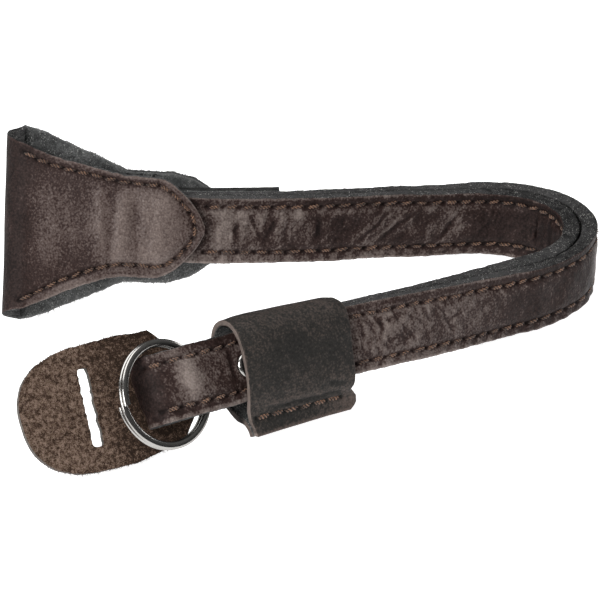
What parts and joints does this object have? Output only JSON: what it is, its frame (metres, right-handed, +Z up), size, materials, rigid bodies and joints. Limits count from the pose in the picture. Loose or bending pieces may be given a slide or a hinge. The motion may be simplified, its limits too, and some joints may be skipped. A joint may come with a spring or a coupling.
{
  "type": "camera wrist strap",
  "caption": "Sewn two-layer leather wrist strap bent in an open U on its edge, with a flared folded end, a keeper sleeve, a steel split ring and a slotted suede tab.",
  "frame": {"origin": "on the surface the strap stands on, under the middle of its box", "axes": "+Z up; +X from the flared end and the ring towards the bend of the U; +Y from the ring's arm to the flared arm"},
  "size_m": [0.1316, 0.1054, 0.0401],
  "materials": {
    "end_leather": "satin dark brown grain",
    "flesh_leather": "rough black flesh side",
    "strap_leather": "worn dark brown grain",
    "keeper_leather": "matte charcoal brown",
    "steel": "polished nickel plate",
    "suede": "mottled brown suede"
  },
  "bodies": {
    "root": {"end_tab": "end_leather", "end_tongue": "flesh_leather", "strap_inner": "strap_leather", "strap_outer": "strap_leather", "keeper": "keeper_leather", "rivet": "steel", "split_ring": "steel", "lug_tab": "suede"}
  },
  "joints": []
}
